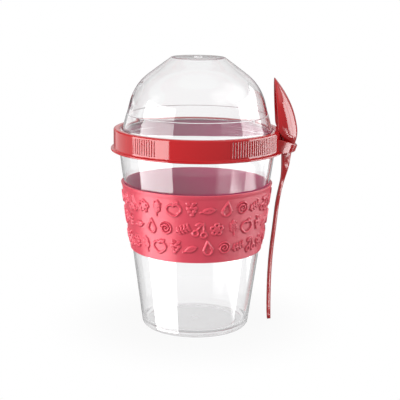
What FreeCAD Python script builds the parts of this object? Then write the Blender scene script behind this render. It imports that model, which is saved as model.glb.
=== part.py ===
import FreeCAD, Part
import math
import os

# To-go yogurt cup: a clear tapered cup with a soft sleeve, a ribbed screw ring that clamps a clear
# dome lid, and a spoon that hangs in a loop moulded on the ring.
# Millimetres and degrees. Origin on the cup's axis at the table, +Z up, +X towards the spoon.

# Cup
CUP_HEIGHT = 119.7          # table to rim
FOOT_R = 32.6               # the tapered wall, carried down to the table
NECK_R = 47.1               # straight neck under the ring
NECK_HEIGHT = 10.0
NECK_BLEND = 12.0           # rounding between the taper and the neck
CUP_WALL = 1.3
CUP_FLOOR = 1.5
RIM_ROUND = 0.5
FOOT_CORNER = 2.6           # outer rounding between wall and foot
FLOOR_COVE = 4.6            # inner rounding between wall and floor
FOOT_RECESS_R = 25.6
FOOT_RECESS = 1.2

# Sleeve
SLEEVE_BOTTOM = 48.8        # above the table
SLEEVE_HEIGHT = 41.0
SLEEVE_WALL = 1.0
SLEEVE_LIP = 0.5            # how far the top edge flares beyond the wall
SLEEVE_LIP_HEIGHT = 2.6
SLEEVE_EDGE = 0.3
SLEEVE_GAP = 0.15

# Screw ring
RING_WALL = 1.6
RING_HEIGHT = 13.0
RING_TOP_WALL = 1.2
RING_TOP_WIDTH = 3.4        # flat top between the outer face and the dome
RING_EDGE = 1.0
THREAD_GAP = 1.7            # room between neck and ring for the thread
LIP_REACH = 1.7             # drip lip round the ring's lower edge
LIP_HEIGHT = 1.2
RIB_PITCH = 2.0
RIB_PROUD = 0.25
RIB_MARGIN = 1.3            # smooth band above and below the ribs
RIB_GROUPS = ((22, 23), (118, 9))   # degrees from the spoon to the first rib, and how many ribs
RIB_ROOT = 0.8              # how deep the ribbed band reaches into the ring's wall

# Loop that holds the spoon
LOOP_R = 15.4
LOOP_REACH = 9.0            # how far the loop's lower edge stands out from the ring
LOOP_WALL = 1.6
LOOP_LEAN = 0.35            # outward lean per millimetre of height
LOOP_ROOT_HEIGHT = 9.0      # where the loop leaves the ring
LOOP_END_HEIGHT = 3.4       # at its outer end
LOOP_CROWN = 1.0            # how far its top edge arches above a straight line
LOOP_EDGE = 0.4

# Dome lid
DOME_HEIGHT = 43.8          # flange to the flat top
DOME_WALL = 1.2
DOME_FLANGE = 1.2
DOME_FLANGE_GAP = 0.6       # between the flange and the ring round it
DOME_SETBACK = 2.05         # foot of the collar, inside the neck's outer face
DOME_FOOT_ROUND = 2.2
COLLAR_LEAN = 14.5          # from upright
COLLAR_HEIGHT = 10.1        # flange to the ledge
COLLAR_LEDGE = 0.3
SHOULDER_LEAN = 53.5        # from upright
SHOULDER_ROUND = 30.6
DOME_TOP_R = 15.9
DOME_TOP_ROUND = 2.4
GATE_R = 2.4
GATE_HEIGHT = 0.6
GRIP_R = 7.7                # round recess for thumb or finger
GRIP_DEPTH = 0.4
GRIP_TILT = 25.0            # the recess faces this far above level
GRIP_TURN = 19.0            # from the spoon, with a second one opposite

# Spoon, which hangs bowl up with its hollow towards the dome
BOWL_RISE = 30.8            # tip above the ring
BOWL_HALF_WIDTH = 15.0
BOWL_WIDEST = 5.5           # above the ring
BOWL_DEEPEST = 3.5          # below the ring's top
BOWL_REACH = 9.9            # back of the bowl, beyond the ring's face
BOWL_BACK_ROUND = 41.0
MOUTH_SETBACK = 2.35        # the straight mouth leans from here, inside the ring's face at its top,
TIP_SETBACK = 4.8           # to here at the tip
MOUTH_TURN = 5.0            # below the ring's top, where the shaft starts to turn into the mouth
MOUTH_EASE = 6.5            # height over which it turns
BOWL_POINT = 1.2            # 1 for an elliptical tip, more for a sharper one
BOWL_SPREAD = 0.75          # under 1 widens the shaft early on its way up to the bowl
SHAFT_GAP = 1.1             # between the ring's face and the shaft in the loop
SHAFT_HALF_WIDTH = 6.6      # in the loop
NECK_HALF_WIDTH = 2.7
NECK_SHARE = 0.2            # of the way down from the loop, where the shaft has narrowed to the neck
FLARE_SHARES = (0.25, 0.95)     # where the handle starts and ends widening towards its end
HANDLE_HALF_WIDTH = 4.8
HANDLE_THICK = 2.3
HANDLE_ROWS = (             # share of the way down from the loop, place beyond the ring's face, depth
    (1.00, -5.2, HANDLE_THICK),
    (0.78, -5.6, HANDLE_THICK),
    (0.60, -4.9, HANDLE_THICK),
    (0.40, -2.9, HANDLE_THICK),
    (0.26, -1.2, HANDLE_THICK),
    (0.17, 0.7, 2.5),
    (0.08, 1.2, 4.6),
)
SPOON_WALL = 1.5
THIN_SHARE = 0.6            # where a section is thin, its wall takes this much of it
TABLE_GAP = 2.1             # under the handle's end
SPOON_GAP = 0.2             # between the spoon's back and the loop it rests in

SEAT_GAP = 0.1              # between rim, flange and ring

# What seats on the cup takes its place from it
NECK_BOTTOM = CUP_HEIGHT - NECK_HEIGHT
TAPER = (NECK_R - FOOT_R) / NECK_BOTTOM
FLANGE_BOTTOM = CUP_HEIGHT + SEAT_GAP
FLANGE_TOP = FLANGE_BOTTOM + DOME_FLANGE
RING_TOP = FLANGE_TOP + SEAT_GAP + RING_TOP_WALL
RING_BOTTOM = RING_TOP - RING_HEIGHT
RING_INNER_R = NECK_R + THREAD_GAP
RING_R = RING_INNER_R + RING_WALL
LOOP_X = RING_R + LOOP_REACH - LOOP_R
UP = FreeCAD.Vector(0, 0, 1)
AXIS = FreeCAD.Vector(0, 0, 0)


def rounded_wire(corners):
    """Closed profile in the XZ plane through (x, z, radius) corners, each rounded by its radius."""
    points = [FreeCAD.Vector(x, 0, z) for x, z, radius in corners]
    stops = []
    arcs = []
    for i, (x, z, radius) in enumerate(corners):
        corner = points[i]
        back = points[i - 1].sub(corner).normalize()
        ahead = points[(i + 1) % len(points)].sub(corner).normalize()
        half = back.getAngle(ahead) / 2
        inward = back.add(ahead)
        if not radius:
            stops.append((corner, corner))
            continue
        inward.normalize()
        start = corner + back * (radius / math.tan(half))
        end = corner + ahead * (radius / math.tan(half))
        middle = corner + inward * (radius / math.sin(half) - radius)
        stops.append((start, end))
        arcs.append(Part.Arc(start, middle, end).toShape())
    lines = []
    for i, (start, end) in enumerate(stops):
        following = stops[(i + 1) % len(stops)][0]
        lines.append(Part.makeLine(end, following))
    return Part.Wire(Part.sortEdges(lines + arcs)[0])


def turned(corners):
    """Solid of revolution about the cup's axis."""
    return Part.Face(rounded_wire(corners)).revolve(AXIS, UP, 360)


def cone_r(height):
    """Outer radius of the cup's tapered wall."""
    return FOOT_R + TAPER * height


def make_cup():
    floor_top = FOOT_RECESS + CUP_FLOOR
    return turned([
        (0, FOOT_RECESS, 0),
        (FOOT_RECESS_R, FOOT_RECESS, 0),
        (FOOT_RECESS_R, 0, 0),
        (FOOT_R, 0, FOOT_CORNER),
        (NECK_R, NECK_BOTTOM, NECK_BLEND),
        (NECK_R, CUP_HEIGHT, RIM_ROUND),
        (NECK_R - CUP_WALL, CUP_HEIGHT, RIM_ROUND),
        (NECK_R - CUP_WALL, NECK_BOTTOM, NECK_BLEND),
        (cone_r(floor_top) - CUP_WALL, floor_top, FLOOR_COVE),
        (0, floor_top, 0),
    ])


def make_sleeve():
    top = SLEEVE_BOTTOM + SLEEVE_HEIGHT
    lip = top - SLEEVE_LIP_HEIGHT
    inner_bottom = cone_r(SLEEVE_BOTTOM) + SLEEVE_GAP
    inner_top = cone_r(top) + SLEEVE_GAP
    return turned([
        (inner_bottom, SLEEVE_BOTTOM, 0),
        (inner_bottom + SLEEVE_WALL, SLEEVE_BOTTOM, SLEEVE_EDGE),
        (cone_r(lip) + SLEEVE_GAP + SLEEVE_WALL, lip, 0),
        (inner_top + SLEEVE_WALL + SLEEVE_LIP, top, SLEEVE_EDGE),
        (inner_top, top, 0),
    ])


def rib_angles():
    """Where each rib starts, in degrees round the ring from the spoon; both sides mirror."""
    starts = []
    for first, count in RIB_GROUPS:
        for i in range(count):
            starts.append(first + i * RIB_PITCH)
            starts.append(360 - first - (i + 1) * RIB_PITCH)
    return sorted(starts)


def on_ring(radius, angle):
    turn = math.radians(angle)
    return FreeCAD.Vector(radius * math.cos(turn), radius * math.sin(turn), 0)


def plan_arc(radius, start, end, middle_radius):
    middle = on_ring(middle_radius, (start + end) / 2)
    return Part.Arc(on_ring(radius, start), middle, on_ring(radius, end)).toShape()


def make_rib_band():
    """The ribbed zone of the ring's outer face: one outline with every rib as an arc."""
    edges = []
    last = 0
    for start in rib_angles():
        if start - last > 1e-6:
            edges.append(plan_arc(RING_R, last, start, RING_R))
        last = start + RIB_PITCH
        edges.append(plan_arc(RING_R, start, last, RING_R + RIB_PROUD))
    edges.append(plan_arc(RING_R, last, 360, RING_R))
    height = RING_HEIGHT - LIP_HEIGHT - 2 * RIB_MARGIN
    band = Part.Face(Part.Wire(edges)).extrude(UP * height)
    band = band.cut(Part.makeCylinder(RING_R - RIB_ROOT, height))
    band.translate(UP * (RING_BOTTOM + LIP_HEIGHT + RIB_MARGIN))
    return band


def leaning_disc(radius, height):
    """The loop's plan, a disc beside the ring, raised along its outward lean."""
    centre = FreeCAD.Vector(LOOP_X, 0, RING_BOTTOM)
    disc = Part.Face(Part.Wire(Part.makeCircle(radius, centre, UP)))
    return disc.extrude(FreeCAD.Vector(LOOP_LEAN, 0, 1) * height)


def make_loop():
    """Open loop that leans out from the ring, low at its outer end and high where it joins."""
    band = leaning_disc(LOOP_R, RING_HEIGHT).cut(leaning_disc(LOOP_R - LOOP_WALL, RING_HEIGHT))
    inner_x = RING_R - 3 * RING_WALL
    outer_x = RING_R + LOOP_REACH + LOOP_LEAN * LOOP_END_HEIGHT
    root = FreeCAD.Vector(inner_x, 0, RING_BOTTOM + LOOP_ROOT_HEIGHT)
    end = FreeCAD.Vector(outer_x, 0, RING_BOTTOM + LOOP_END_HEIGHT)
    crown = (root + end) / 2 + UP * LOOP_CROWN
    beyond = end + FreeCAD.Vector(RING_WALL, 0, 0)
    corners = [
        end,
        beyond,
        FreeCAD.Vector(beyond.x, 0, RING_BOTTOM),
        FreeCAD.Vector(inner_x, 0, RING_BOTTOM),
        root,
    ]
    side = [Part.makeLine(a, b) for a, b in zip(corners, corners[1:])]
    side.append(Part.Arc(root, crown, end).toShape())
    side = Part.Face(Part.Wire(side))
    side.translate(FreeCAD.Vector(0, -LOOP_R, 0))
    loop = band.common(side.extrude(FreeCAD.Vector(0, 2 * LOOP_R, 0)))
    long_edges = [edge for edge in loop.Edges if edge.Length > LOOP_R]
    loop = loop.makeFillet(LOOP_EDGE, long_edges)
    return loop.cut(Part.makeCylinder(RING_R - RIB_ROOT, RING_TOP))


def make_ring():
    lip_top = RING_BOTTOM + LIP_HEIGHT
    under = RING_TOP - RING_TOP_WALL
    body = turned([
        (RING_INNER_R, RING_BOTTOM, 0),
        (RING_R + LIP_REACH, RING_BOTTOM, LIP_HEIGHT / 3),
        (RING_R + LIP_REACH, lip_top, LIP_HEIGHT / 3),
        (RING_R, lip_top, LIP_HEIGHT / 2),
        (RING_R, RING_TOP, RING_EDGE),
        (RING_R - RING_TOP_WIDTH, RING_TOP, RING_TOP_WALL / 3),
        (RING_R - RING_TOP_WIDTH, under, 0),
        (RING_INNER_R, under, 0),
    ])
    room = leaning_disc(LOOP_R - LOOP_WALL, RING_HEIGHT).cut(Part.makeCylinder(RING_R, RING_TOP))
    ring = body.cut(room).fuse([make_rib_band(), make_loop()])
    return ring.removeSplitter().Solids[0]


def dome_lines(inset):
    """Foot radius, crest and top corner of the dome's outline, set inward by a distance."""
    collar = math.radians(COLLAR_LEAN)
    shoulder = math.radians(SHOULDER_LEAN)
    foot_r = NECK_R - DOME_SETBACK - inset / math.cos(collar)
    top_z = FLANGE_TOP + DOME_HEIGHT - inset
    top_r = DOME_TOP_R + inset * (math.tan(shoulder) - 1 / math.cos(shoulder))
    rise = (top_r - foot_r + math.tan(shoulder) * (top_z - FLANGE_TOP))
    rise /= math.tan(shoulder) - math.tan(collar)
    crest = (foot_r - math.tan(collar) * rise, FLANGE_TOP + rise, SHOULDER_ROUND - inset)
    return foot_r, crest, (top_r, top_z, DOME_TOP_ROUND - inset)


def dome_core(inset):
    """Solid dome without its flange, set inward by a distance."""
    foot_r, crest, top = dome_lines(inset)
    return turned([(0, FLANGE_TOP, 0), (foot_r, FLANGE_TOP, 0), crest, top, (0, top[1], 0)])


def grip_recess(turn):
    """Shallow round recess whose floor follows the dome."""
    foot_r, crest, top = dome_lines(0)
    collar = math.radians(COLLAR_LEAN)
    bend = math.radians(SHOULDER_LEAN - COLLAR_LEAN) / 2
    run = SHOULDER_ROUND * math.tan(bend)
    centre_r = crest[0] + run * math.sin(collar) - SHOULDER_ROUND * math.cos(collar)
    centre_z = crest[1] - run * math.cos(collar) - SHOULDER_ROUND * math.sin(collar)
    direction = FreeCAD.Vector(math.cos(math.radians(GRIP_TILT)), 0, math.sin(math.radians(GRIP_TILT)))
    start = FreeCAD.Vector(centre_r, 0, centre_z) + direction * (SHOULDER_ROUND - GRIP_R)
    cutter = Part.makeCylinder(GRIP_R, 2 * GRIP_R, start, direction)
    cutter.rotate(AXIS, UP, turn)
    return cutter.cut(dome_core(GRIP_DEPTH))


def make_dome():
    foot_r, crest, top = dome_lines(0)
    inner_foot_r, inner_crest, inner_top = dome_lines(DOME_WALL)
    lean = math.tan(math.radians(COLLAR_LEAN))
    flange_r = RING_INNER_R - DOME_FLANGE_GAP
    ledge_r = foot_r - lean * COLLAR_HEIGHT
    ledge_z = FLANGE_TOP + COLLAR_HEIGHT
    dome = turned([
        (0, top[1] + GATE_HEIGHT, 0),
        (GATE_R, top[1] + GATE_HEIGHT, GATE_HEIGHT / 2),
        (GATE_R, top[1], 0),
        top,
        crest,
        (ledge_r, ledge_z, 0),
        (ledge_r + COLLAR_LEDGE, ledge_z - COLLAR_LEDGE, 0),
        (foot_r + COLLAR_LEDGE, FLANGE_TOP, DOME_FOOT_ROUND),
        (flange_r, FLANGE_TOP, DOME_FLANGE / 4),
        (flange_r, FLANGE_BOTTOM, DOME_FLANGE / 4),
        (inner_foot_r + lean * DOME_FLANGE, FLANGE_BOTTOM, 0),
        inner_crest,
        inner_top,
        (0, inner_top[1], 0),
    ])
    return dome.cut([grip_recess(GRIP_TURN), grip_recess(GRIP_TURN + 180)]).Solids[0]


def fair_line(rows):
    """Smooth curve through (height, value) rows, read off at any height."""
    points = [FreeCAD.Vector(value, 0, height) for height, value in rows]
    curve = Part.BSplineCurve()
    curve.interpolate(Points=points, Parameters=[height for height, value in rows])
    return lambda height: curve.value(height).x


def ease(share):
    """Smooth step from 0 to 1, flat at both ends."""
    share = min(max(share, 0), 1)
    return share * share * (3 - 2 * share)


def spoon_sides():
    """The spoon's side view: the line of its mouth and hollow, and the line of its back."""
    drop = RING_BOTTOM - TABLE_GAP
    shaft = RING_R + SHAFT_GAP
    loop_face = RING_R + LOOP_REACH - LOOP_WALL - SPOON_GAP
    deepest = RING_TOP - BOWL_DEEPEST
    front = []
    back = []
    for share, place, depth in HANDLE_ROWS:
        front.append((RING_BOTTOM - drop * share, RING_R + place))
        back.append((RING_BOTTOM - drop * share, RING_R + place + depth))
    front.append((RING_BOTTOM, shaft))
    front.append((RING_TOP, shaft))
    back.append((RING_BOTTOM, loop_face))
    back.append((RING_BOTTOM + LOOP_END_HEIGHT, loop_face + LOOP_LEAN * LOOP_END_HEIGHT))
    for step in range(5):
        rise = (BOWL_RISE + BOWL_DEEPEST) * step / 4
        back.append((deepest + rise, RING_R + BOWL_REACH - rise ** 2 / (2 * BOWL_BACK_ROUND)))
    inner = fair_line(front)

    def mouth(height):
        """Straight over the bowl, and eased into the shaft beside the ring."""
        if height < RING_BOTTOM:
            return inner(height)
        share = (height - RING_TOP) / BOWL_RISE
        straight = RING_R - MOUTH_SETBACK - (TIP_SETBACK - MOUTH_SETBACK) * share
        return shaft + (straight - shaft) * ease((height - RING_TOP + MOUTH_TURN) / MOUTH_EASE)

    return mouth, fair_line(back)


def spoon_half_width(height):
    """The spoon's front view: round handle end, slim neck, widening shaft and pointed oval bowl."""
    widest = RING_TOP + BOWL_WIDEST
    if height >= widest:
        share = (height - widest) / (RING_TOP + BOWL_RISE - widest)
        return BOWL_HALF_WIDTH * (1 - share ** 2) ** (BOWL_POINT / 2)
    if height >= RING_BOTTOM:
        share = (height - RING_BOTTOM) / (widest - RING_BOTTOM)
        return SHAFT_HALF_WIDTH + (BOWL_HALF_WIDTH - SHAFT_HALF_WIDTH) * ease(share ** BOWL_SPREAD)
    share = (RING_BOTTOM - height) / (RING_BOTTOM - TABLE_GAP)
    flare_start, flare_end = FLARE_SHARES
    flare = ease((share - flare_start) / (flare_end - flare_start))
    half_width = NECK_HALF_WIDTH + (SHAFT_HALF_WIDTH - NECK_HALF_WIDTH) * ease(1 - share / NECK_SHARE)
    half_width += (HANDLE_HALF_WIDTH - NECK_HALF_WIDTH) * flare
    below = TABLE_GAP + HANDLE_HALF_WIDTH - height
    if below > 0:
        half_width *= math.sqrt(1 - (below / HANDLE_HALF_WIDTH) ** 2)
    return half_width


def spoon_heights():
    """Where the spoon's sections lie, closer together at its rounded ends."""
    widest = RING_TOP + BOWL_WIDEST
    heights = []
    for turn in (8, 22, 40, 62):
        heights.append(TABLE_GAP + HANDLE_HALF_WIDTH * (1 - math.cos(math.radians(turn))))
    start = TABLE_GAP + HANDLE_HALF_WIDTH
    for step in range(12):
        heights.append(start + (RING_BOTTOM - start) * step / 12)
    for step in range(6):
        heights.append(RING_BOTTOM + (widest - RING_BOTTOM) * step / 6)
    for turn in (0, 12, 24, 36, 48, 60, 70, 78, 84):
        heights.append(widest + (RING_TOP + BOWL_RISE - widest) * math.sin(math.radians(turn)))
    return heights


def half_circle():
    """Spline round a half circle of radius 1, from -Y over +X to +Y."""
    turns = [math.radians(step * 30) for step in range(-3, 4)]
    points = [FreeCAD.Vector(math.cos(turn), math.sin(turn), 0) for turn in turns]
    curve = Part.BSplineCurve()
    curve.interpolate(Points=points, Parameters=turns)
    return curve


def arched_skin(sections):
    """Smooth face through arched sections, each a (height, rim x, reach, half width) row."""
    arch = half_circle()
    heights = [row[0] for row in sections]
    columns = []
    for pole in arch.getPoles():
        column = Part.BSplineCurve()
        points = []
        for height, inner, reach, half_width in sections:
            points.append(FreeCAD.Vector(inner + reach * pole.x, half_width * pole.y, height))
        column.interpolate(Points=points, Parameters=heights)
        columns.append(column)
    along = columns[0]
    surface = Part.BSplineSurface()
    surface.buildFromPolesMultsKnots(
        [column.getPoles() for column in columns],
        arch.getMultiplicities(), along.getMultiplicities(),
        arch.getKnots(), along.getKnots(),
        False, False, arch.Degree, along.Degree,
    )
    return surface


def make_spoon():
    """Two arched skins, back and hollow, joined along their rims and across both ends."""
    front, back = spoon_sides()
    outer = []
    hollow = []
    for height in spoon_heights():
        half_width = spoon_half_width(height)
        inner = front(height)
        reach = back(height) - inner
        wall = min(SPOON_WALL, THIN_SHARE * reach, THIN_SHARE * half_width)
        outer.append((height, inner, reach, half_width))
        hollow.append((height, inner, reach - wall, half_width - wall))
    skins = [arched_skin(outer), arched_skin(hollow)]
    faces = [surface.toShape() for surface in skins]
    start, end, low, high = skins[0].bounds()
    for place in (start, end):
        faces.append(Part.makeRuledSurface(*[surface.uIso(place).toShape() for surface in skins]))
    for place in (low, high):
        faces.append(Part.makeRuledSurface(*[surface.vIso(place).toShape() for surface in skins]))
    shell = Part.makeShell(faces)
    shell.sewShape()
    return Part.makeSolid(shell)


PIECES = {
    "cup": make_cup,
    "sleeve": make_sleeve,
    "ring": make_ring,
    "dome": make_dome,
    "spoon": make_spoon,
}

os.makedirs("parts", exist_ok=True)
for name, make in PIECES.items():
    make().exportStep("parts/" + name + ".step")
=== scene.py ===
import math
from functools import partial

import bmesh
import bpy
import numpy as np
from mathutils import Matrix, Vector


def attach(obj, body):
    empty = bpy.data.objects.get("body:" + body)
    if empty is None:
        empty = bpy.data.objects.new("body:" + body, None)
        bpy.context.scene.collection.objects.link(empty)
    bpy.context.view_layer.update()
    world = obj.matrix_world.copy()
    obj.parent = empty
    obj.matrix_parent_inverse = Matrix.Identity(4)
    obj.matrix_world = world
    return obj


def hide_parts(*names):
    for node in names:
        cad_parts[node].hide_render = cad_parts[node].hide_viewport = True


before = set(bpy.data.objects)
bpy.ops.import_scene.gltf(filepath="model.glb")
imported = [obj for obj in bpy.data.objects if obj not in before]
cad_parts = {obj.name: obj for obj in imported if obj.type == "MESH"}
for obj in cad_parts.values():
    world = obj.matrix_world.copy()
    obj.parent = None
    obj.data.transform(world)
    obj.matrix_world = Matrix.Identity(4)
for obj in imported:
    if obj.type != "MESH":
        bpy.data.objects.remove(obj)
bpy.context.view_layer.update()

# A yogurt cup. Finer meshes of the same form, worked out in mm, replace the CAD cup, dome and sleeve, and
# the CAD ring and spoon get their materials. Then come the studio, the lamps and the camera.

MM = 0.001


# ---------------------------------------------------------------- meshes

SMALL_ROUND = 5.0           # up to this radius, in mm, a rounding has coarser steps
SMALL_STEP = 14             # degrees
SHARP = 34.0                # edges bent more than this stay sharp
WELD = 1e-6                 # metres


def rounded(corners, turn_step=9.0):
    """Points along a profile of (r, z, radius) corners in mm, each corner rounded by its radius."""
    points = []
    for i, (r, z, radius) in enumerate(corners):
        here = np.array((r, z), float)
        if not radius:
            points.append(here)
            continue
        back = np.array(corners[i - 1][:2], float) - here
        ahead = np.array(corners[(i + 1) % len(corners)][:2], float) - here
        back /= np.linalg.norm(back)
        ahead /= np.linalg.norm(ahead)
        half = math.acos(float(np.clip(back @ ahead, -1, 1))) / 2
        middle = (back + ahead) / np.linalg.norm(back + ahead)
        centre = here + middle * radius / math.sin(half)
        start = here + back * radius / math.tan(half) - centre
        end = here + ahead * radius / math.tan(half) - centre
        sweep = math.pi - 2 * half
        step = turn_step if radius > SMALL_ROUND else max(turn_step, SMALL_STEP)
        steps = max(2, int(math.degrees(sweep) / step) + 1)
        for k in range(steps + 1):
            share = k / steps
            arm = start * math.sin((1 - share) * sweep) + end * math.sin(share * sweep)
            points.append(centre + arm / math.sin(sweep))
    return np.array(points)


def runs(points):
    """Each point of a closed profile with the next one."""
    return zip(points, np.roll(points, -1, axis=0))


def divided(a, b, count):
    """Points in equal steps, at least one, from a up to but not including b."""
    steps = max(1, count)
    return [a + (b - a) * k / steps for k in range(steps)]


def spread(points, longest):
    """The same closed profile with its long runs divided."""
    out = []
    for a, b in runs(points):
        out += divided(a, b, math.ceil(np.linalg.norm(b - a) / longest))
    return np.array(out)


def grid_object(name, co, sharp):
    """Mesh object from a grid of points (u, v, xyz) in mm, closed both ways, smooth with sharp edges kept."""
    nu, nv = co.shape[:2]
    u, v = np.meshgrid(np.arange(nu), np.arange(nv), indexing="ij")
    u2, v2 = (u + 1) % nu, (v + 1) % nv
    quads = np.stack((u * nv + v, u2 * nv + v, u2 * nv + v2, u * nv + v2), -1).reshape(-1, 4)
    mesh = bpy.data.meshes.new(name)
    mesh.from_pydata((co.reshape(-1, 3) * MM).tolist(), [], quads.tolist())
    obj = bpy.data.objects.new(name, mesh)
    bpy.context.scene.collection.objects.link(obj)
    weld(mesh)
    finish_mesh(mesh, sharp)
    return obj


def weld(mesh):
    """Joins the grid's points on the axis and turns all normals outwards."""
    bm = bmesh.new()
    bm.from_mesh(mesh)
    bmesh.ops.remove_doubles(bm, verts=bm.verts, dist=WELD)
    bmesh.ops.dissolve_degenerate(bm, dist=WELD / 10, edges=bm.edges)
    bmesh.ops.recalc_face_normals(bm, faces=bm.faces)
    bm.to_mesh(mesh)
    bm.free()


def finish_mesh(mesh, sharp):
    mesh.polygons.foreach_set("use_smooth", np.ones(len(mesh.polygons), bool))
    mesh.set_sharp_from_angle(angle=math.radians(sharp))
    mesh.update()


def turned(name, profile, turns, shape, sharp=SHARP):
    """A profile turned about the axis in so many steps; shape moves the (angle, r, z) grid first."""
    angles = np.arange(turns) * 2 * math.pi / turns
    theta, r = np.meshgrid(angles, profile[:, 0], indexing="ij")
    z = np.broadcast_to(profile[:, 1], r.shape).copy()
    r, z = shape(theta, r.copy(), z)
    co = np.stack((r * np.cos(theta), r * np.sin(theta), z), -1)
    return grid_object(name, co, sharp)


def smooth(edge0, edge1, value):
    """0 up to the first edge, 1 from the second, and an S curve between them."""
    share = np.clip((value - edge0) / (edge1 - edge0), 0, 1)
    return share * share * (3 - 2 * share)


# ---------------------------------------------------------------- sizes, in mm, as in the CAD model

CUP_HEIGHT = 119.7
FOOT_R = 32.6               # the taper, carried down to the table
NECK_R = 47.1
NECK_BOTTOM = 109.7
NECK_BLEND = 12
CUP_WALL = 1.3
TAPER = (NECK_R - FOOT_R) / NECK_BOTTOM
FLOOR_TOP = 2.7
FLOOR_COVE = 4.6
FOOT_CORNER = 2.6
FOOT_RECESS_R = 25.6
FOOT_RECESS = 1.2
RIM_ROUND = 0.5
DIMPLE_R = (1.1, 1.5)       # moulding dimple under the floor, top and mouth
DIMPLE_TOP = 1.75
DIMPLE_ROUND = 0.2
THREAD_PITCH = 3.6
THREAD_PROUD = 0.35
THREAD_START = 1.2          # above the neck's lower end
THREAD_RIDGE = (0.25, 0.95)     # half widths of the ridge's crown and root
THREAD_FADES = ((-0.6, 0.6), (7.2, 8.6))    # where it rises and dies away, above the neck's lower end
THREAD_ROW = 0.22           # between the mesh's rows there

SLEEVE_BOTTOM = 48.8
SLEEVE_TOP = 89.8
SLEEVE_GAP = 0.15
SLEEVE_WALL = 1.0
SLEEVE_LIP = 0.5
SLEEVE_LIP_HEIGHT = 2.6
SLEEVE_LIP_BLEND = 4.0
SLEEVE_EDGES = (0.12, 0.3)  # roundings of its inner and outer edges
SLEEVE_ROW = 0.36           # between the mesh's rows on the outer face

FLANGE_TOP = 121.0
FLANGE_BOTTOM = 119.8
FLANGE_R = 48.2
DOME_TOP = 164.8
DOME_WALL = 1.2
DOME_SETBACK = 2.05         # foot of the collar, inside the neck's outer face
DOME_FOOT_ROUND = 2.2
DOME_TOP_R = 15.9
DOME_TOP_ROUND = 2.4
DOME_STEP = 1.6             # degrees and mm between the profile's points
COLLAR = math.radians(14.5)
COLLAR_HEIGHT = 10.1
COLLAR_LEDGE = 0.3
SHOULDER = math.radians(53.5)
SHOULDER_ROUND = 30.6
GATE_R = 2.4
GATE_HEIGHT = 0.6
GRIP_R = 7.7
GRIP_DEPTH = 0.4
GRIP_BLEND = 0.25
GRIP_TILT = math.radians(25)
GRIP_PUSH = (0.92, 0.38)    # inwards and down
GRIP_TURNS = (19, 199)


def cone_r(height):
    return FOOT_R + TAPER * height


# ---------------------------------------------------------------- cup

def make_cup():
    inner_neck = NECK_R - CUP_WALL
    profile = spread(rounded([
        (0, DIMPLE_TOP, 0), (DIMPLE_R[0], DIMPLE_TOP, DIMPLE_ROUND), (DIMPLE_R[1], FOOT_RECESS, DIMPLE_ROUND),
        (FOOT_RECESS_R, FOOT_RECESS, 0.3), (FOOT_RECESS_R, 0, 0.3), (FOOT_R, 0, FOOT_CORNER),
        (NECK_R, NECK_BOTTOM, NECK_BLEND), (NECK_R, CUP_HEIGHT, RIM_ROUND),
        (inner_neck, CUP_HEIGHT, RIM_ROUND), (inner_neck, NECK_BOTTOM, NECK_BLEND),
        (cone_r(FLOOR_TOP) - CUP_WALL, FLOOR_TOP, FLOOR_COVE), (0, FLOOR_TOP, 0),
    ]), 4.0)
    fine = []
    for a, b in runs(profile):
        on_neck = min(a[0], b[0]) > NECK_R - 0.6 and min(a[1], b[1]) > NECK_BOTTOM - 6
        fine += divided(a, b, int(np.linalg.norm(b - a) / THREAD_ROW) if on_neck else 1)

    def thread(theta, r, z):
        outside = (r > NECK_R - 0.45) & (z > NECK_BOTTOM - 4)
        phase = (z - NECK_BOTTOM - THREAD_START) / THREAD_PITCH - theta / (2 * math.pi)
        ridge = np.abs((phase + 0.5) % 1 - 0.5) * THREAD_PITCH
        rises, dies = THREAD_FADES
        window = smooth(*rises, z - NECK_BOTTOM) * (1 - smooth(*dies, z - NECK_BOTTOM))
        proud = THREAD_PROUD * (1 - smooth(*THREAD_RIDGE, ridge)) * window
        return np.where(outside, r + proud, r), z

    return turned("cup_body", np.array(fine), 256, thread)


# ---------------------------------------------------------------- sleeve with raised motifs

# Each shape below gives a point's distance in mm from its outline, less than 0 inside it. Each motif is
# drawn about its own centre, with x along the sleeve and y up.

LINE = 0.16                 # half width of a leaf's vein
FIFTH = 1.2566              # of a full turn, in radians
FAR = 9.0


def disc(x, y, cx, cy, radius):
    return np.hypot(x - cx, y - cy) - radius


def segment(x, y, ax, ay, bx, by, width):
    """Line from a to b with round ends; width is half its width."""
    px, py, dx, dy = x - ax, y - ay, bx - ax, by - ay
    share = np.clip((px * dx + py * dy) / (dx * dx + dy * dy), 0, 1)
    return np.hypot(px - dx * share, py - dy * share) - width


def leaf_shape(x, y, length, width):
    """Pointed leaf along +X from the origin."""
    half = length / 2
    bulge = (half * half - width * width / 4) / width
    radius = bulge + width / 2
    return np.maximum(np.hypot(x - half, y + bulge), np.hypot(x - half, y - bulge)) - radius


def turned_xy(x, y, cx, cy, degrees):
    """The point as it is seen from a centre that is turned."""
    c, s = math.cos(math.radians(degrees)), math.sin(math.radians(degrees))
    return (x - cx) * c + (y - cy) * s, -(x - cx) * s + (y - cy) * c


def leaf(x, y, cx, cy, degrees, length, width):
    lx, ly = turned_xy(x, y, cx, cy, degrees)
    body = leaf_shape(lx, ly, length, width)
    vein = segment(lx, ly, length * 0.1, 0, length * 0.85, 0, LINE)
    return np.maximum(body, -vein)


def stroke(distance, width):
    """The outline itself, twice the width across."""
    return np.abs(distance) - width


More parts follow.
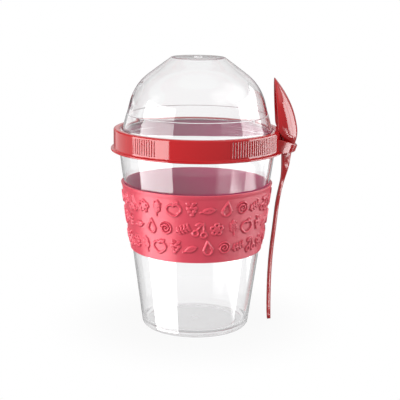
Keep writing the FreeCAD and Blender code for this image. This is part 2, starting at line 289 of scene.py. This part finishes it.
def motif_cherries(x, y):
    stems = np.minimum(segment(x, y, 0.9, 3.2, -1.5, -0.6, 0.22), segment(x, y, 0.9, 3.2, 1.9, -0.9, 0.22))
    fruit = np.minimum(stroke(disc(x, y, -1.7, -1.9, 1.25), 0.28), stroke(disc(x, y, 2.0, -2.1, 1.25), 0.28))
    return np.minimum(np.minimum(stems, fruit), leaf(x, y, 0.9, 3.0, 200, 3.4, 1.7))


def motif_leaf(x, y):
    return np.minimum(leaf(x, y, -3.0, -1.2, 18, 6.4, 3.0), segment(x, y, -3.9, -1.6, -2.6, -1.1, 0.24))


def motif_sprig(x, y):
    d = segment(x, y, -3.6, -1.4, 3.4, 1.3, 0.22)
    for share in (0.1, 0.35, 0.6, 0.85):
        for degrees in (21 + 62, 21 - 62):
            d = np.minimum(d, leaf(x, y, -3.6 + 7.0 * share, -1.4 + 2.7 * share, degrees, 2.5, 1.2))
    return d


def motif_apple(x, y):
    lobes = np.minimum(disc(x, y, -1.0, 0.1, 2.05), disc(x, y, 1.0, 0.1, 2.05))
    body = stroke(np.minimum(lobes, disc(x, y, 0, -0.7, 2.1)), 0.27)
    stem = segment(x, y, 0, 1.5, 0.5, 3.0, 0.24)
    return np.minimum(np.minimum(body, stem), leaf(x, y, 0.4, 2.3, 25, 2.3, 1.2))


def motif_drop(x, y):
    tip = np.maximum(np.abs(x) * 0.87 + (y - 3.0) * 0.5, -(y + 0.1))
    return stroke(np.minimum(disc(x, y, 0, -0.9, 1.75), tip), 0.28)


def motif_flower(x, y):
    d = disc(x, y, 0, 0, 0.75)
    for k in range(5):
        turn = k * FIFTH
        d = np.minimum(d, stroke(disc(x, y, 2.0 * math.sin(turn), 2.0 * math.cos(turn), 0.95), 0.26))
    return d


def motif_oats(x, y):
    d = segment(x, y, 0, -3.4, 0, 1.6, 0.2)
    d = np.minimum(d, leaf(x, y, 0, 1.4, 90, 2.4, 1.2))
    for k in range(3):
        for degrees in (48, 132):
            d = np.minimum(d, leaf(x, y, 0, -1.7 + 1.3 * k, degrees, 2.4, 1.05))
    return d


def motif_swirl(x, y):
    pitch = 1.35
    radius = np.hypot(x, y)
    angle = np.arctan2(y, x) / (2 * math.pi)
    arm = np.abs((radius / pitch - angle + 0.5) % 1 - 0.5) * pitch - 0.26
    return np.maximum(arm, radius - 2.9)


def motif_berry(x, y):
    d = np.full_like(x, FAR)
    for cx, cy in ((-1.4, 0.9), (0, 1.2), (1.4, 0.9), (-0.8, -0.4), (0.8, -0.4), (0, -1.7)):
        d = np.minimum(d, disc(x, y, cx, cy, 0.68))
    return np.minimum(d, np.minimum(leaf(x, y, 0, 2.0, 35, 2.2, 1.0), leaf(x, y, 0, 2.0, 145, 2.2, 1.0)))


MOTIFS = (                  # and how much larger than drawn
    (motif_oats, 1.3), (motif_cherries, 1.3), (motif_swirl, 1.25), (motif_leaf, 1.15), (motif_apple, 1.35),
    (motif_flower, 1.2), (motif_sprig, 1.05), (motif_drop, 1.4), (motif_berry, 1.4),
)
ROW_LEVELS = (32.3, 20.6, 8.9)  # above the sleeve's lower edge
PER_ROW = 27
REACH = 7                   # from a motif's centre to beyond its ends
RELIEF = 0.85
RELIEF_EDGE = (0.02, 0.32)
SLEEVE_R = 42.6             # at which the arc length is measured


def sleeve_relief(arc, height):
    """Relief in mm over the sleeve's outer face, from arc length round it and height above its edge."""
    total = 2 * math.pi * SLEEVE_R
    step = total / PER_ROW
    depth = np.full_like(arc, FAR)
    for row, level in enumerate(ROW_LEVELS):
        for k in range(PER_ROW):
            place = (k + 0.5 * (row % 2)) * step + 0.3 * math.sin(2.3 * k + row)
            lean = 9 * math.sin(1.7 * k + 2.1 * row)
            motif, scale = MOTIFS[(k * 4 + row * 2) % len(MOTIFS)]
            x = (arc - place + total / 2) % total - total / 2
            near = np.abs(x) < REACH
            mx, my = turned_xy(x[near], height[near], 0, level, lean)
            depth[near] = np.minimum(depth[near], motif(mx / scale, my / scale) * scale)
    return RELIEF * (1 - smooth(*RELIEF_EDGE, depth))


def make_sleeve():
    def inner_r(height):
        return cone_r(height) + SLEEVE_GAP

    def outer_r(height):
        return inner_r(height) + SLEEVE_WALL

    lip_z = SLEEVE_TOP - SLEEVE_LIP_HEIGHT
    inner_round, outer_round = SLEEVE_EDGES
    edge = rounded([
        (inner_r(SLEEVE_BOTTOM), SLEEVE_BOTTOM, inner_round),
        (outer_r(SLEEVE_BOTTOM), SLEEVE_BOTTOM, outer_round),
        (outer_r(lip_z), lip_z, SLEEVE_LIP_BLEND),
        (outer_r(SLEEVE_TOP) + SLEEVE_LIP, SLEEVE_TOP, outer_round),
        (inner_r(SLEEVE_TOP), SLEEVE_TOP, inner_round),
    ], 24)
    fine = []
    for a, b in runs(edge):
        outer = a[0] > outer_r(SLEEVE_BOTTOM) - 0.2 and a[1] < lip_z - 1 and b[1] > a[1] + 5
        fine += divided(a, b, int((b[1] - a[1]) / SLEEVE_ROW) if outer else int(abs(b[1] - a[1]) / 5))

    def raised(theta, r, z):
        outer = (r > outer_r(z) - 0.05) & (z > SLEEVE_BOTTOM + 1) & (z < lip_z - 0.6)
        lift = sleeve_relief(theta * SLEEVE_R, z - SLEEVE_BOTTOM)
        return np.where(outer, r + lift, r), z

    return turned("sleeve_band", np.array(fine), 720, raised, sharp=60)


# ---------------------------------------------------------------- dome

def dome_line(inset):
    """Foot radius, shoulder corner and top corner of the dome's outline, drawn in by inset."""
    lean, slope = math.tan(COLLAR), math.tan(SHOULDER)
    foot = NECK_R - DOME_SETBACK - inset / math.cos(COLLAR)
    top_z = DOME_TOP - inset
    top_r = DOME_TOP_R + inset * (slope - 1 / math.cos(SHOULDER))
    rise = (top_r - foot + slope * (top_z - FLANGE_TOP)) / (slope - lean)
    crest = (foot - lean * rise, FLANGE_TOP + rise, SHOULDER_ROUND - inset)
    return foot, crest, (top_r, top_z, DOME_TOP_ROUND - inset)


def make_dome():
    foot, crest, top = dome_line(0)
    inner_foot, inner_crest, inner_top = dome_line(DOME_WALL)
    lean = math.tan(COLLAR)
    ledge_r, ledge_z = foot - lean * COLLAR_HEIGHT, FLANGE_TOP + COLLAR_HEIGHT
    gate_z = DOME_TOP + GATE_HEIGHT
    profile = spread(rounded([
        (0, gate_z, 0), (GATE_R, gate_z, 0.3), (GATE_R, DOME_TOP, 0), top, crest,
        (ledge_r, ledge_z, 0.12), (ledge_r + COLLAR_LEDGE, ledge_z - COLLAR_LEDGE, 0.12),
        (foot + COLLAR_LEDGE, FLANGE_TOP, DOME_FOOT_ROUND),
        (FLANGE_R, FLANGE_TOP, 0.3), (FLANGE_R, FLANGE_BOTTOM, 0.3),
        (inner_foot + lean * (FLANGE_TOP - FLANGE_BOTTOM), FLANGE_BOTTOM, 0.2),
        inner_crest, inner_top, (0, inner_top[1], 0),
    ], DOME_STEP), DOME_STEP)

    # centre of the shoulder's rounding, about which the grips are set
    run = SHOULDER_ROUND * math.tan((SHOULDER - COLLAR) / 2)
    centre_r = crest[0] + run * math.sin(COLLAR) - SHOULDER_ROUND * math.cos(COLLAR)
    centre_z = crest[1] - run * math.cos(COLLAR) - SHOULDER_ROUND * math.sin(COLLAR)
    cos_tilt, sin_tilt = math.cos(GRIP_TILT), math.sin(GRIP_TILT)

    def grips(theta, r, z):
        """Two round recesses; only the outer skin, which bulges over a disc as a sphere does, moves."""
        for turn in GRIP_TURNS:
            t = theta - math.radians(turn)
            x, y = r * np.cos(t), r * np.sin(t)
            ahead = (x - centre_r) * cos_tilt + (z - centre_z) * sin_tilt
            up = -(x - centre_r) * sin_tilt + (z - centre_z) * cos_tilt
            off = np.hypot(up, y)
            outer = (ahead > SHOULDER_ROUND - DOME_WALL / 2 - off ** 2 / 60) & (x > 0) & (z > FLANGE_TOP + 3)
            sunk = 1 - smooth(GRIP_R - GRIP_BLEND, GRIP_R + GRIP_BLEND, off)
            dent = np.where(outer, GRIP_DEPTH * sunk, 0)
            r = r - dent * GRIP_PUSH[0]
            z = z - dent * GRIP_PUSH[1]
        return r, z

    return turned("dome_lid", profile, 360, grips)


# ---------------------------------------------------------------- materials

def new_material(name):
    material = bpy.data.materials.new(name)
    material.use_nodes = True
    tree = material.node_tree
    return material, tree, tree.nodes["Principled BSDF"]


def set_in(shader, **values):
    for key, value in values.items():
        shader.inputs[key.replace("_", " ")].default_value = value


def noise(tree, coords, scale, detail):
    node = tree.nodes.new("ShaderNodeTexNoise")
    node.inputs["Scale"].default_value = scale
    node.inputs["Detail"].default_value = detail
    tree.links.new(coords, node.inputs["Vector"])
    return node.outputs["Fac"]


def map_range(tree, value, low, high):
    node = tree.nodes.new("ShaderNodeMapRange")
    node.inputs["To Min"].default_value = low
    node.inputs["To Max"].default_value = high
    tree.links.new(value, node.inputs["Value"])
    return node.outputs["Result"]


def object_coords(tree):
    return tree.nodes.new("ShaderNodeTexCoord").outputs["Object"]


def add_bump(tree, shader, height, strength, distance):
    node = tree.nodes.new("ShaderNodeBump")
    node.inputs["Strength"].default_value = strength
    node.inputs["Distance"].default_value = distance
    tree.links.new(height, node.inputs["Height"])
    tree.links.new(node.outputs["Normal"], shader.inputs["Normal"])


def color_mix(tree, factor, a, b, blend="MIX"):
    """Mix of two colours, each an (r, g, b) or another node's output."""
    node = tree.nodes.new("ShaderNodeMix")
    node.data_type = "RGBA"
    node.blend_type = blend
    for key, value in (("Factor", factor), ("A", a), ("B", b)):
        if isinstance(value, tuple):
            node.inputs[key].default_value = (*value, 1)
        elif isinstance(value, float):
            node.inputs[key].default_value = value
        else:
            tree.links.new(value, node.inputs[key])
    return node.outputs["Result"]


def shader_mix(tree, factor, a, b):
    node = tree.nodes.new("ShaderNodeMixShader")
    for socket, value in zip(node.inputs, (factor, a, b)):
        tree.links.new(value, socket)
    return node.outputs[0]


def darker(color, share):
    return tuple(c * share for c in color)


def math_node(tree, operation, a, b=0.0):
    node = tree.nodes.new("ShaderNodeMath")
    node.operation = operation
    for socket, value in zip(node.inputs, (a, b)):
        if isinstance(value, (int, float)):
            socket.default_value = value
        else:
            tree.links.new(value, socket)
    return node.outputs[0]


def smooth_step(tree, value, low, high, start=0.0, end=1.0):
    node = tree.nodes.new("ShaderNodeMapRange")
    node.interpolation_type = "SMOOTHSTEP"
    node.inputs["From Min"].default_value = low
    node.inputs["From Max"].default_value = high
    node.inputs["To Min"].default_value = start
    node.inputs["To Max"].default_value = end
    tree.links.new(value, node.inputs["Value"])
    return node.outputs["Result"]


def between(tree, value, low, high, soft):
    rise = smooth_step(tree, value, low - soft, low + soft)
    return math_node(tree, "MULTIPLY", rise, smooth_step(tree, value, high - soft, high + soft, 1, 0))


def ray_has(tree, kind, times=1):
    """1 for a ray that has been scattered (Diffuse), mirrored (Glossy) or let through at least so often."""
    path = tree.nodes.new("ShaderNodeLightPath")
    return math_node(tree, "GREATER_THAN", path.outputs[kind + " Depth"], times - 0.5)


CLEAR_SHADOW = (0.93, 0.925, 0.93, 1)   # the light that one wall lets through


def clear_plastic(name, tint):
    """Clear plastic that lets shadow rays pass, and rays mirrored twice, which it would trap."""
    material, tree, shader = new_material(name)
    coords = object_coords(tree)
    set_in(shader, Metallic=0.0, IOR=1.49, Transmission_Weight=0.987)
    slow = noise(tree, coords, scale=28, detail=2)
    tree.links.new(color_mix(tree, slow, darker(tint, 0.995), tint), shader.inputs["Base Color"])
    fine = noise(tree, coords, scale=90, detail=3)
    tree.links.new(map_range(tree, fine, 0.0, 0.02), shader.inputs["Roughness"])
    add_bump(tree, shader, slow, strength=0.03, distance=0.0003)
    see_through = tree.nodes.new("ShaderNodeBsdfTransparent")
    see_through.inputs["Color"].default_value = CLEAR_SHADOW
    shadow = tree.nodes.new("ShaderNodeLightPath").outputs["Is Shadow Ray"]
    passing = math_node(tree, "MAXIMUM", shadow, ray_has(tree, "Glossy", 2))
    surface = shader_mix(tree, passing, shader.outputs[0], see_through.outputs[0])
    tree.links.new(surface, tree.nodes["Material Output"].inputs["Surface"])
    return material


def moulded_color(tree, coords, color):
    """The colour with faint cloudiness, the noise that makes it, and the gloss of moulded plastic."""
    slow = noise(tree, coords, scale=45, detail=3)
    clouded = color_mix(tree, slow, darker(color, 0.93), color)
    return clouded, slow, map_range(tree, noise(tree, coords, scale=160, detail=4), 0.05, 0.09)


def moulded_plastic(name, color):
    material, tree, shader = new_material(name)
    set_in(shader, Metallic=0.0, IOR=1.5)
    clouded, slow, gloss = moulded_color(tree, object_coords(tree), color)
    tree.links.new(clouded, shader.inputs["Base Color"])
    tree.links.new(gloss, shader.inputs["Roughness"])
    add_bump(tree, shader, slow, strength=0.06, distance=0.0006)
    return material


RIB_BANDS = ((22, 68), (118, 136))  # degrees from the spoon, on both sides
RIB_PITCH = 2                       # degrees
RIB_LEVELS = (0.1118, 0.1210)       # metres, like the three sizes below
RIB_FACE_R = 0.0503
INNER_FACE_R = 0.0489
INNER_FACE_TOP = 0.1209
RIB_SIDE = (0.24, 0.42)             # where a rib falls off into its groove, in pitches from its crown
# share of the red left in the grooves between the ribs: painted shade
GROOVE_PAINTED_SHADE = 0.3
GROOVE_DULLNESS = 0.45


def ribbed_plastic(name, color, inside):
    """Moulded plastic with painted shade in the grooves between its ribs, which are also duller, and a mauve
    painted reflection on the ring's inner face.
    """
    material, tree, shader = new_material(name)
    coords = object_coords(tree)
    set_in(shader, Metallic=0.0, IOR=1.5)

    calc = partial(math_node, tree)
    parts = tree.nodes.new("ShaderNodeSeparateXYZ")
    tree.links.new(coords, parts.inputs[0])
    x, y, z = parts.outputs["X"], parts.outputs["Y"], parts.outputs["Z"]
    radius = calc("SQRT", calc("ADD", calc("MULTIPLY", x, x), calc("MULTIPLY", y, y)))
    turn = calc("MULTIPLY", calc("ABSOLUTE", calc("ARCTAN2", y, x)), 180 / math.pi)
    ribbed = calc("ADD", *(between(tree, turn, *band, 0.2) for band in RIB_BANDS))
    ribbed = calc("MULTIPLY", ribbed, between(tree, z, *RIB_LEVELS, 0.0001))
    ribbed = calc("MULTIPLY", ribbed, calc("GREATER_THAN", radius, RIB_FACE_R))
    share = calc("FRACT", calc("MULTIPLY", turn, 1 / RIB_PITCH))
    off_crown = calc("ABSOLUTE", calc("SUBTRACT", share, 0.5))
    groove = calc("MULTIPLY", ribbed, smooth_step(tree, off_crown, *RIB_SIDE))
    # the ring's inner face, which gets a mauve colour as painted reflection of the bluish haze seen through
    # the clear dome
    inner = calc("MULTIPLY", calc("LESS_THAN", radius, INNER_FACE_R), calc("LESS_THAN", z, INNER_FACE_TOP))

    clouded, slow, gloss = moulded_color(tree, coords, color)
    # painted reflection: the inner face's mauve stands in for a bluish haze over the red
    clouded = color_mix(tree, inner, clouded, inside)
    # painted shade: the grooves between the ribs are darkened in the colour
    clouded = color_mix(tree, groove, clouded, darker(color, GROOVE_PAINTED_SHADE))
    tree.links.new(clouded, shader.inputs["Base Color"])
    tree.links.new(calc("ADD", gloss, calc("MULTIPLY", groove, GROOVE_DULLNESS)), shader.inputs["Roughness"])
    add_bump(tree, shader, slow, strength=0.04, distance=0.0004)
    return material


CORNER_BEND, EDGE_BEND = 0.40, 0.58     # Blender's pointiness, 0.5 where the face is flat
# colour factors: painted shade in the relief's corners and painted highlight on its edges
CORNER_PAINTED_SHADE = (0.55, 0.5, 0.5)
EDGE_PAINTED_HIGHLIGHT = (1.12, 1.3, 1.3)


def silicone(name, color):
    """Satin silicone, with painted shade in the corners of its relief and painted highlights on its edges."""
    material, tree, shader = new_material(name)
    coords = object_coords(tree)
    set_in(shader, Metallic=0.0, IOR=1.44)
    slow = noise(tree, coords, scale=60, detail=3)
    bend = tree.nodes.new("ShaderNodeNewGeometry").outputs["Pointiness"]
    # painted shade and painted highlight, chosen by pointiness
    painted_shade_and_highlight = color_mix(tree, smooth_step(tree, bend, CORNER_BEND, EDGE_BEND), CORNER_PAINTED_SHADE, EDGE_PAINTED_HIGHLIGHT)
    clouded = color_mix(tree, slow, darker(color, 0.92), color)
    tree.links.new(color_mix(tree, 1.0, clouded, painted_shade_and_highlight, "MULTIPLY"), shader.inputs["Base Color"])
    tree.links.new(map_range(tree, slow, 0.30, 0.38), shader.inputs["Roughness"])
    grain = noise(tree, coords, scale=2600, detail=3)
    add_bump(tree, shader, grain, strength=0.12, distance=0.0003)
    return material


RED = (0.53, 0.010, 0.014)
clear_cup = clear_plastic("clear_cup_moulded", (0.991, 0.990, 0.993))
clear_dome = clear_plastic("clear_dome_moulded", (0.991, 0.991, 0.993))
# the ring's mauve inner-face colour is painted reflection
red_ring = ribbed_plastic("red_ring_moulded", RED, (0.52, 0.06, 0.19))
red_spoon = moulded_plastic("red_spoon_moulded", RED)
sleeve_skin = silicone("sleeve_silicone_soft", (0.800, 0.074, 0.116))
# the band's inner faces get a mauve colour as painted reflection of the bluish haze seen through the cup
sleeve_inside_painted_reflection = silicone("sleeve_silicone_inside_painted_reflection", (0.78, 0.006, 0.170))

cup = make_cup()
dome = make_dome()
sleeve = make_sleeve()
for piece, node, slot, material in (
    (cup, "cup", "clear_cup", clear_cup),
    (dome, "dome", "clear_dome", clear_dome),
    (sleeve, "sleeve", "sleeve_silicone", sleeve_skin),
):
    piece.data.materials.append(material)
    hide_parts(node)
    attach(piece, "root")
# the inner faces take the mauve painted-reflection material
sleeve.data.materials.append(sleeve_inside_painted_reflection)
for face in sleeve.data.polygons:
    face.material_index = int(face.normal.x * face.center.x + face.normal.y * face.center.y < 0)
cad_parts["ring"].material_slots[0].material = red_ring
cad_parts["spoon"].material_slots[0].material = red_spoon


# ---------------------------------------------------------------- stage, light and camera

# What glossy surfaces mirror. In degrees: two azimuths, from the camera's side towards +X, two elevations,
# and the width of the soft edges of both. Then the brightness, where 1 is white. Overlaps add up.
PANELS = (
    (-98, -38, -42, 22, 1.5, 5.0, 9.0),     # left softbox
    (-98, -38, -27, -15, 1.5, 5.0, 2.8),    # its brighter heart
    (75, 98, -17.5, 26, 1.5, 3.0, 8.4),     # right softbox, which falls off towards its far end
    (98, 121, -17, 26, 3.0, 4.0, 6.0),
    (121, 138, -16, 26, 3.0, 4.0, 3.8),
    (56, 96, -29, -24, 5.0, 2.0, 10.0),     # its image in the table
    (82, 125, -23.4, -20.4, 3.0, 1.5, 7.0),
    (34, 58, -30.5, -22, 12.0, 3.0, 2.3),   # soft light on the table in front of it
    (58, 82, -24, -21, 4.0, 1.5, 2.3),
    (210, 262, -13.5, 4, 4.0, 3.0, 1.2),    # white wall behind the left softbox
    (-38, 75, -60, 26, 4.0, 8.0, 0.5),      # the room on the camera's side
    (150, 210, 5, 24, 10.0, 6.0, 0.8),      # upper part of the white backdrop
    (-181, 181, 26, 91, 1.0, 8.0, 0.6),     # pale ceiling
    (35, 115, 32, 58, 24.0, 18.0, 1.5),     # soft patch of it on the right
)
ROOM = 0.25             # brightness between the panels
THROUGH = (0.56, 1.4)   # least and most that a wall mirrors from inside or through another wall
DEEP = 0.9              # what is left after several mirrorings inside a wall
AMBIENT = 0.41          # even light on matt surfaces


def within(tree, off_middle, width, soft):
    """1 less than half the width off the middle, with soft edges."""
    return smooth_step(tree, off_middle, (width - soft) / 2, (width + soft) / 2, 1, 0)


def panel(tree, x, y, elevation, row):
    """1 inside a panel's azimuths and elevations and 0 outside them."""
    start, end, low, high, soft, fade = (math.radians(value) for value in row[:6])
    calc = partial(math_node, tree)
    s, c = math.sin((start + end) / 2), math.cos((start + end) / 2)
    across = calc("ADD", calc("MULTIPLY", x, c), calc("MULTIPLY", y, s))
    along = calc("SUBTRACT", calc("MULTIPLY", x, s), calc("MULTIPLY", y, c))
    sideways = within(tree, calc("ABSOLUTE", calc("ARCTAN2", across, along)), end - start, soft)
    off_level = calc("ABSOLUTE", calc("SUBTRACT", elevation, (low + high) / 2))
    return calc("MULTIPLY", sideways, within(tree, off_level, high - low, fade))


def studio(tree, direction):
    """Brightness of the studio in a direction, as glossy surfaces mirror it."""
    x, y, z = direction.outputs["X"], direction.outputs["Y"], direction.outputs["Z"]
    elevation = math_node(tree, "ARCSINE", z)
    walls = ROOM
    for row in PANELS:
        lit = panel(tree, x, y, elevation, row)
        walls = math_node(tree, "ADD", walls, math_node(tree, "MULTIPLY", lit, row[-1] - ROOM))
    return walls


def choose(tree, factor, off, on):
    """off where the factor is 0 and on where it is 1."""
    kept = math_node(tree, "MULTIPLY", math_node(tree, "SUBTRACT", 1.0, factor), off)
    return math_node(tree, "ADD", kept, math_node(tree, "MULTIPLY", factor, on))


def make_world():
    """White where it is seen, the studio where it is mirrored, and even light for matt surfaces."""
    world = bpy.data.worlds.new("studio")
    bpy.context.scene.world = world
    world.use_nodes = True
    tree = world.node_tree
    background = tree.nodes["Background"]
    direction = tree.nodes.new("ShaderNodeSeparateXYZ")
    tree.links.new(tree.nodes.new("ShaderNodeTexCoord").outputs["Generated"], direction.inputs[0])
    walls = studio(tree, direction)
    dimmed = math_node(tree, "MAXIMUM", math_node(tree, "MINIMUM", walls, THROUGH[1]), THROUGH[0])
    walls = choose(tree, ray_has(tree, "Transmission"), walls, dimmed)
    walls = choose(tree, ray_has(tree, "Glossy", 2), walls, DEEP)
    seen = choose(tree, ray_has(tree, "Glossy"), 1.0, walls)
    tree.links.new(choose(tree, ray_has(tree, "Diffuse"), seen, AMBIENT), background.inputs["Strength"])
    background.inputs["Color"].default_value = (1, 1, 1, 1)


FLOOR_REACH = 3.0           # metres from the axis to each side
FLOOR_Z = -0.00005          # just under the foot
# The grey matt colour, with less white mixed in under the foot, is painted shadow there; the lamps' own
# shadow falls on it too.
FLOOR_MATT_AND_PAINTED_SHADOW = (0.42, 0.405, 0.405, 1)
UNDER_FOOT = (0.027, 0.0315, 0.70, 1.0)     # from and to radius, and the share of plain white at each
AROUND_FOOT = (0.036, 0.10, 0.93, 1.0)


def make_floor():
    """Pale floor that keeps a faint shadow near the object, with painted shadow from its grey matt colour
    under the foot, and fades to the white background.
    """
    mesh = bpy.data.meshes.new("floor")
    corners = [(x * FLOOR_REACH, y * FLOOR_REACH, FLOOR_Z) for x, y in ((-1, -1), (1, -1), (1, 1), (-1, 1))]
    mesh.from_pydata(corners, [], [(0, 1, 2, 3)])
    floor = bpy.data.objects.new("floor", mesh)
    bpy.context.scene.collection.objects.link(floor)
    floor.visible_glossy = False
    material, tree, shader = new_material("floor_white")
    tree.nodes.remove(shader)
    matt = tree.nodes.new("ShaderNodeBsdfDiffuse")
    matt.inputs["Color"].default_value = FLOOR_MATT_AND_PAINTED_SHADOW
    white = tree.nodes.new("ShaderNodeEmission")
    open_studio = tree.nodes.new("ShaderNodeBsdfTransparent")
    length = tree.nodes.new("ShaderNodeVectorMath")
    length.operation = "LENGTH"
    tree.links.new(tree.nodes.new("ShaderNodeNewGeometry").outputs["Position"], length.inputs[0])
    radius = length.outputs["Value"]
    share = math_node(tree, "MULTIPLY", smooth_step(tree, radius, *UNDER_FOOT),
                      smooth_step(tree, radius, *AROUND_FOOT))
    shown = math_node(tree, "MULTIPLY", math_node(tree, "SUBTRACT", 1.0, ray_has(tree, "Diffuse")), share)
    surface = shader_mix(tree, shown, matt.outputs[0], white.outputs[0])
    surface = shader_mix(tree, ray_has(tree, "Glossy"), surface, open_studio.outputs[0])
    tree.links.new(surface, tree.nodes["Material Output"].inputs["Surface"])
    mesh.materials.append(material)


AIM = Vector((0, 0, 0.09))
LAMP_DISTANCE = 1.0         # from the cup's axis


def softbox(name, azimuth, size, height, watts):
    """Area lamp that lights the matt surfaces and isn't mirrored itself; azimuth as for the panels."""
    light = bpy.data.lights.new(name, "AREA")
    light.shape = "RECTANGLE"
    light.size, light.size_y = size
    light.energy = watts
    lamp = bpy.data.objects.new(name, light)
    turn = math.radians(azimuth)
    lamp.location = (LAMP_DISTANCE * math.sin(turn), -LAMP_DISTANCE * math.cos(turn), height)
    lamp.rotation_euler = (AIM - lamp.location).to_track_quat("-Z", "Y").to_euler()
    lamp.visible_glossy = False
    lamp.visible_camera = False
    lamp.visible_transmission = False
    bpy.context.scene.collection.objects.link(lamp)


make_world()
make_floor()
softbox("softbox_left", azimuth=-48, size=(0.5, 1.0), height=0.5, watts=9.3)
softbox("softbox_right", azimuth=100, size=(0.8, 1.0), height=0.5, watts=3.6)
softbox("softbox_top", azimuth=20, size=(1.0, 0.6), height=1.2, watts=3.5)

# The camera that fits the ellipses of the photo's foot, sleeve, ring and dome
CAMERA_PLACE = Vector((0.00218, -0.60964, 0.21184))
CAMERA_TILT = math.radians(77.585)
CAMERA_ROLL = 0.01319
camera_data = bpy.data.cameras.new("camera")
camera_data.sensor_width = 36
camera_data.lens = 91.68
camera = bpy.data.objects.new("camera", camera_data)
bpy.context.scene.collection.objects.link(camera)
camera.matrix_world = (Matrix.Translation(CAMERA_PLACE) @ Matrix.Rotation(CAMERA_TILT, 4, "X")
                       @ Matrix.Rotation(CAMERA_ROLL, 4, "Z"))
bpy.context.scene.camera = camera
bpy.context.scene.view_settings.view_transform = "Standard"
